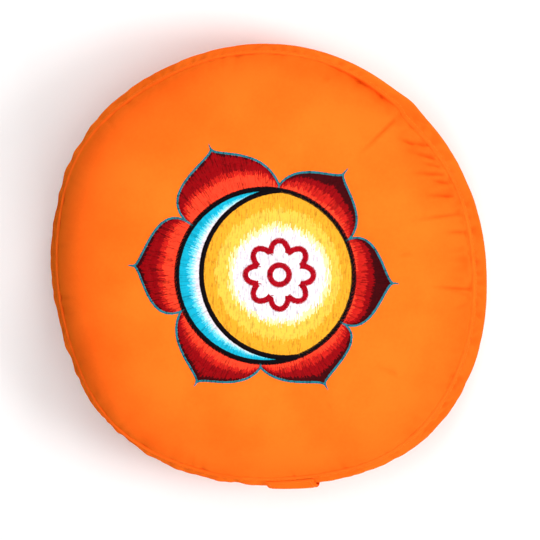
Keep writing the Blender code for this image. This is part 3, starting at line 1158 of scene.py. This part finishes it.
def make_rings(surface):
    """The black outer ring and the black line round the inner disc."""
    ring = circle(0.0, 0.0, RING_RADIUS)[:-1] * RING_STRETCH
    satin_line(surface, "ring", "black", ring, RING_WIDTH, closed=True, rise=RING_RISE)
    line = circle(DISC_X, DISC_Y, DISC_RADIUS)
    inside = np.hypot(*(line / RING_STRETCH).T) < RING_RADIUS
    start = int(np.argmax(inside[:-1] & ~np.roll(inside[:-1], 1)))
    line = np.roll(line[:-1], -start, axis=0)[np.roll(inside[:-1], -start)]
    satin_line(surface, "disc_line", "black", line, DISC_LINE, lift=DISC_LINE_LIFT)


def crescent_edges(angle):
    """Inner and outer radius of the crescent at an angle about the emblem's middle."""
    turn = np.radians(angle)
    offset = DISC_X * np.cos(turn) + DISC_Y * np.sin(turn)
    aside = -DISC_X * np.sin(turn) + DISC_Y * np.cos(turn)
    inner = offset + np.sqrt(DISC_RADIUS**2 - aside**2)
    stretch = np.hypot(RING_STRETCH[0] * np.cos(turn), RING_STRETCH[1] * np.sin(turn))
    return inner, (RING_RADIUS - 0.5 * RING_WIDTH) * stretch


def make_crescent(surface):
    """Fill between the two rings, on the left, from white inside to cyan outside."""
    runs = {thread[0]: [] for thread in CRESCENT_THREADS}
    for angle in np.arange(*CRESCENT_SPAN, math.degrees(THREAD_PITCH / CRESCENT_PITCH_RADIUS)):
        inner, outer = crescent_edges(angle)
        depth = outer - inner
        if depth < SHORTEST_FILL:
            continue
        middle = inner + depth * (CRESCENT_WHITE + CRESCENT_WHITE_JITTER * rng.uniform(-1.0, 1.0))
        pale = middle + depth * CRESCENT_PALE * rng.uniform(*CRESCENT_UNEVEN)
        light = pale + depth * CRESCENT_LIGHT * rng.uniform(*CRESCENT_UNEVEN)
        edges = (outer, light, pale, middle, inner)
        for (colour, inward, outward), high, low in zip(CRESCENT_THREADS, edges, edges[1:]):
            runs[colour].append((polar(angle, low - inward), polar(angle, high + outward)))
    for colour, stitches in runs.items():
        embroider(surface, f"crescent_{colour}", colour, stitches)


def disc_colour(x, y):
    """Thread of the disc at a point: gold by its rim, then yellow, then the white glow."""
    from_glow = math.hypot(x - GLOW_X, (y - GLOW_Y) * GLOW_STRETCH) - GLOW_RADIUS
    from_glow += rng.uniform(-GLOW_JITTER, GLOW_JITTER)
    if from_glow < GLOW_CREAM[0]:
        return "white"
    if from_glow < GLOW_CREAM[1]:
        return "cream"
    line_room = DISC_RADIUS - math.hypot(x - DISC_X, y - DISC_Y)
    from_rim = min(RING_RADIUS - math.hypot(x, y), line_room)
    from_rim += rng.uniform(-GOLD_JITTER, GOLD_JITTER)
    return "gold" if from_rim < GOLD_PER_GLOW * from_glow + 1.0 else "yellow"


def make_disc(surface):
    """Upright fill of the disc inside both rings."""
    runs = {"gold": [], "yellow": [], "cream": [], "white": []}
    for x in np.arange(-RING_RADIUS, RING_RADIUS, THREAD_PITCH):
        ring_half = math.sqrt(max(RING_RADIUS**2 - x**2, 0.0)) * RING_STRETCH[1]
        disc_half = DISC_RADIUS**2 - (x - DISC_X) ** 2
        if disc_half <= 0.0:
            continue
        bottom = max(-ring_half, DISC_Y - math.sqrt(disc_half))
        top = min(ring_half, DISC_Y + math.sqrt(disc_half))
        y = bottom - rng.uniform(0.0, DISC_STAGGER)
        while y < top:
            length = rng.uniform(*DISC_STITCH)
            low = max(y, bottom)
            high = min(y + length, top)
            y += length - DISC_STITCH_OVERLAP
            if high - low < SHORTEST_FILL:
                continue
            colour = disc_colour(x, 0.5 * (low + high))
            runs[colour].append(((x, low), (x, high)))
    for colour, stitches in runs.items():
        embroider(surface, f"disc_{colour}", colour, stitches)


def petal_outline(petal, side, tail):
    """Outline of one half petal in the emblem's plane, from the ring out past the tip."""
    outward = 1.0 if side else -1.0
    angles, radii = petal_side(petal, side)
    points = polar(petal.azimuth + outward * angles, radii)[::-1]
    start = polar(petal.azimuth + outward * angles[-1], RING_RADIUS)
    end = polar(petal.azimuth, radii[0] + tail)
    return np.vstack([start, points, end])


def make_outlines(surface):
    """Teal line round each petal, one side running on past the tip."""
    for index, petal in enumerate(PETALS):
        for side, label in ((1, "left"), (0, "right")):
            tail = petal.tail if side else OUTLINE_RIGHT_TAIL
            path = petal_outline(petal, side, tail)
            name = f"petal_{index}_{label}"
            satin_line(surface, name, "teal", path, OUTLINE_WIDTH, taper=tail, **OUTLINE_STITCHES)


def make_rosette(surface):
    """Plain lobed rosette in satin stitch in the middle of the white glow."""
    angles = np.linspace(0.0, 360.0, 481)[:-1]
    lobe = np.abs(np.cos(np.radians(0.5 * ROSETTE_LOBES * angles))) ** ROSETTE_ROUNDNESS
    lobes = polar(angles, ROSETTE_RADIUS + ROSETTE_LOBE * lobe) + np.array([GLOW_X, GLOW_Y])
    eye = circle(GLOW_X, GLOW_Y, ROSETTE_EYE_RADIUS)[:-1]
    for name, path in (("rosette", lobes), ("rosette_eye", eye)):
        satin_line(surface, name, "crimson", path, ROSETTE_LINE, closed=True, lift=ROSETTE_LIFT)


def make_ground(surface, name, colour, outline, lift):
    """Thin padding under the stitches: rings of points from the middle to an outline."""
    count = len(outline)
    rings = [outline * ring / GROUND_RINGS for ring in range(1, GROUND_RINGS + 1)]
    flat = np.vstack([[0.0, 0.0], *rings]) + (EMBLEM_X, EMBLEM_Y)
    height = surface.height(flat[:, 0], flat[:, 1]) + lift
    height[-count:] -= lift + GROUND_EDGE_SINK
    faces = [(0, 1 + i, 1 + (i + 1) % count) for i in range(count)]
    faces += (1 + ring_quads(GROUND_RINGS, count))[:, (0, 3, 2, 1)].tolist()
    placed = np.column_stack([flat, height]) * MM
    corners = [placed[index, :2] for face in faces for index in face]
    piece = mesh_piece(f"padding_{name}", placed, faces, corners)
    piece.data.materials.append(thread_material(f"padding_{colour}", THREADS[colour]))
    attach(piece, "root")


def emblem_outline():
    """Closed outline of all six petals, just inside their teal lines."""
    points = []
    for angle in np.arange(0.0, 360.0, 1.5):
        reach = RING_RADIUS
        for petal in PETALS:
            away = float(angle_between(angle, petal.azimuth))
            if petal.roots[0] < petal.azimuth + away < petal.roots[1]:
                reach = max(reach, petal_reach(petal, away))
        points.append(polar(angle, reach - GROUND_INSET))
    return np.array(points)


def make_embroidery(cover):
    """Paddings first, then the fills, the lines over them and the rosette."""
    surface = Surface(cover)
    make_ground(surface, "petals", "dark_red", emblem_outline(), GROUND_LIFT)
    make_ground(surface, "disc", "white", circle(0, 0, RING_RADIUS)[:-1:3], DISC_GROUND_LIFT)
    make_petals(surface)
    make_crescent(surface)
    make_disc(surface)
    make_outlines(surface)
    make_rings(surface)
    make_rosette(surface)


def floor_material():
    """Pale floor that glows faintly, as a lit studio sweep does, more so further out."""
    material, tree, shader = new_material("pale_floor")
    space = add_node(tree, "TexCoord", "Object")
    grain = add_noise(tree, space, 30.0, 2.0)
    away = add_node(tree, "VectorMath", "Value", {0: space}, operation="LENGTH")
    glow = add_fade(tree, away, FLOOR_GLOW_FROM, FLOOR_GLOW_TO, FLOOR_GLOW_NEAR, FLOOR_GLOW_FAR)
    finish = {
        "Base Color": add_ramp(tree, grain, (0.0, (0.88, 0.88, 0.88)), (1.0, (0.91, 0.91, 0.91))),
        "Emission Strength": glow,
        "Emission Color": WHITE,
        "Roughness": 0.95,
    }
    plug(tree, shader, finish)
    return material


def make_floor():
    """Flat floor, wide enough that its edge never shows."""
    size = FLOOR_HALF_SIZE
    points = np.array([(-size, -size, 0), (size, -size, 0), (size, size, 0), (-size, size, 0)], float)
    floor = mesh_piece("floor", points, [(0, 1, 2, 3)])
    floor.data.materials.append(floor_material())


def make_light(name, place, size, power):
    """Round soft light at a place in metres, turned to the cushion."""
    lamp = bpy.data.lights.new(name, "AREA")
    lamp.shape = "DISK"
    lamp.size = size
    lamp.energy = power
    holder = bpy.data.objects.new(name, lamp)
    bpy.context.scene.collection.objects.link(holder)
    holder.visible_camera = False
    holder.location = place
    away = Vector(place) - Vector((0.0, 0.0, 0.1))
    holder.rotation_euler = away.to_track_quat("Z", "Y").to_euler()


def make_world():
    """Studio surround: as pale as the far floor at the horizon, dim overhead."""
    world = bpy.data.worlds.new("studio")
    world.use_nodes = True
    tree = world.node_tree
    space = add_node(tree, "TexCoord", "Generated")
    up = add_node(tree, "SeparateXYZ", "Z", {"Vector": space})
    glow = add_fade(tree, up, WORLD_FADE_FROM, WORLD_FADE_TO, WORLD_HORIZON, WORLD_OVERHEAD)
    plug(tree, tree.nodes["Background"], {"Strength": glow, "Color": WHITE})
    bpy.context.scene.world = world


def make_stage():
    """Floor, lights and surround, shown without any tone curve."""
    make_floor()
    for name, place, size, power in LIGHTS:
        make_light(name, place, size, power)
    make_world()
    bpy.context.scene.view_settings.view_transform = "Standard"


def make_camera():
    """Long lens from above, leaning a little towards the right and the top of the view."""
    lens = bpy.data.cameras.new("camera")
    lens.sensor_width = SENSOR_WIDTH
    lens.lens = SENSOR_WIDTH * CAMERA_DISTANCE / FIELD_WIDTH
    lens.clip_start = 0.05
    camera = bpy.data.objects.new("camera", lens)
    bpy.context.scene.collection.objects.link(camera)
    turn = math.radians(CAMERA_AZIMUTH)
    rise = math.radians(90.0 - CAMERA_TILT)
    flat = math.cos(rise)
    towards = Vector((flat * math.cos(turn), flat * math.sin(turn), math.sin(rise)))
    camera.location = Vector(AIM) + towards * CAMERA_DISTANCE
    back = towards.normalized()
    right = Vector((0.0, 1.0, 0.0)).cross(back).normalized()
    up = back.cross(right)
    camera.rotation_euler = Matrix((right, up, back)).transposed().to_euler()
    bpy.context.scene.camera = camera


def main():
    """The dressed cushion on its stage."""
    cover = make_cover()
    make_seam_stitching("top_seam_stitching", True)
    make_seam_stitching("base_seam_stitching", False)
    make_handle()
    make_handle_stitching()
    make_embroidery(cover)
    make_stage()
    make_camera()


main()
